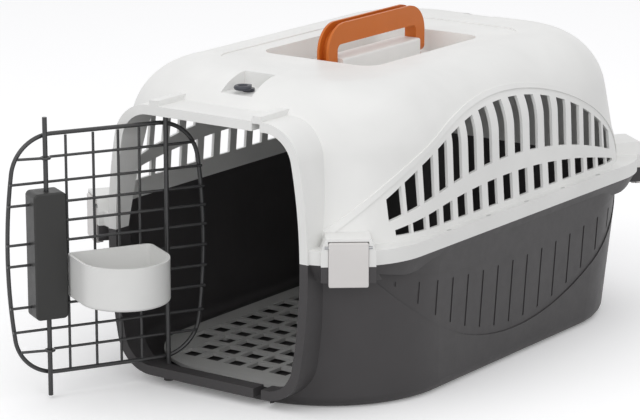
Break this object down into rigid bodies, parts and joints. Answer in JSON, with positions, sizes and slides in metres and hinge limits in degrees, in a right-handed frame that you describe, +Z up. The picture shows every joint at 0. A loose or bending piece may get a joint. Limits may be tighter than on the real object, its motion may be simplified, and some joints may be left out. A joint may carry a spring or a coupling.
{
  "type": "plastic pet carrier",
  "caption": "Hard plastic pet carrier with a vented cover on a grey tub, a side-hinged wire door with a spring latch, a feed bowl, corner clips and a folding carry handle.",
  "frame": {"origin": "middle of the tub's flat underside, where the carrier stands on a floor", "axes": "+Z up, the door end faces -Y, +X to the right of someone who looks at the carrier along +Y"},
  "size_m": [0.32, 0.5882, 0.2865],
  "materials": {
    "cover_white": "fine satin texture, moulded polypropylene",
    "tub_grey": "fine satin texture, moulded polypropylene",
    "clip_grey": "smooth satin",
    "handle_orange": "smooth satin",
    "wire_black": "semi-gloss powder coat on steel wire",
    "latch_black": "smooth satin",
    "bowl_white": "smooth satin",
    "eye_slate": "smooth satin",
    "grate_grey": "smooth satin",
    "steel": "drawn steel wire"
  },
  "bodies": {
    "shell": {"base_tub": "tub_grey", "top_cover": "cover_white", "floor_grate": "grate_grey", "clip_pins": "steel", "handle_pins": "steel"},
    "door": {"door_frame_wire": "wire_black", "door_cross_wires": "wire_black", "door_upright_wires": "wire_black", "hinge_rod": "wire_black", "rod_guide_loops": "wire_black", "latch_housing_inner": "latch_black", "latch_housing_outer": "latch_black", "housing_screws": "steel", "latch_spring": "steel"},
    "latch_upper": {"latch_rod_upper": "wire_black", "latch_grip_upper": "latch_black"},
    "latch_lower": {"latch_rod_lower": "wire_black", "latch_grip_lower": "latch_black"},
    "bowl": {"feed_bowl": "bowl_white"},
    "handle": {"carry_handle": "handle_orange"},
    "clip_front_right": {"clip_front_right": "clip_grey"},
    "clip_front_left": {"clip_front_left": "clip_grey"},
    "clip_rear_right": {"clip_rear_right": "clip_grey"},
    "clip_rear_left": {"clip_rear_left": "clip_grey"},
    "eye_front": {"strap_eye_front": "eye_slate", "strap_washer_front": "eye_slate"},
    "eye_rear": {"strap_eye_rear": "eye_slate", "strap_washer_rear": "eye_slate"}
  },
  "joints": [
    {"name": "door_swing", "type": "hinge", "parent": "shell", "child": "door", "pos_m": [-0.0526, -0.226, 0.1], "axis": [0, 0, 1], "range_deg": [0, 118.9]},
    {"name": "latch_upper_slide", "type": "slide", "parent": "door", "child": "latch_upper", "axis": [0, 0, -1], "range_m": [0, 0.008], "stiffness_N_per_m": 150, "springref_m": -0.004, "deforming": ["latch_spring"]},
    {"name": "latch_lower_slide", "type": "slide", "parent": "door", "child": "latch_lower", "axis": [0, 0, 1], "range_m": [0, 0.008], "stiffness_N_per_m": 150, "springref_m": -0.004, "deforming": ["latch_spring"]},
    {"name": "bowl_lift", "type": "slide", "parent": "door", "child": "bowl", "axis": [0, 0, 1], "range_m": [0, 0.012]},
    {"name": "handle_fold", "type": "hinge", "parent": "shell", "child": "handle", "pos_m": [0, -0.004, 0.249], "axis": [0, 1, 0], "range_deg": [-88, 88]},
    {"name": "clip_front_right_lift", "type": "hinge", "parent": "shell", "child": "clip_front_right", "pos_m": [0.13171, -0.22657, 0.1445], "axis": [-0.788, -0.6157, 0], "range_deg": [0, 95]},
    {"name": "clip_front_left_lift", "type": "hinge", "parent": "shell", "child": "clip_front_left", "pos_m": [-0.13171, -0.22657, 0.1445], "axis": [-0.788, 0.6157, 0], "range_deg": [0, 95]},
    {"name": "clip_rear_right_lift", "type": "hinge", "parent": "shell", "child": "clip_rear_right", "pos_m": [0.13171, 0.22657, 0.1445], "axis": [0.788, -0.6157, 0], "range_deg": [0, 95]},
    {"name": "clip_rear_left_lift", "type": "hinge", "parent": "shell", "child": "clip_rear_left", "pos_m": [-0.13171, 0.22657, 0.1445], "axis": [0.788, 0.6157, 0], "range_deg": [0, 95]},
    {"name": "eye_front_swivel", "type": "hinge", "parent": "shell", "child": "eye_front", "pos_m": [0, -0.182, 0.2475], "axis": [0, 0, 1], "continuous": true},
    {"name": "eye_rear_swivel", "type": "hinge", "parent": "shell", "child": "eye_rear", "pos_m": [0, 0.182, 0.2475], "axis": [0, 0, 1], "continuous": true}
  ]
}
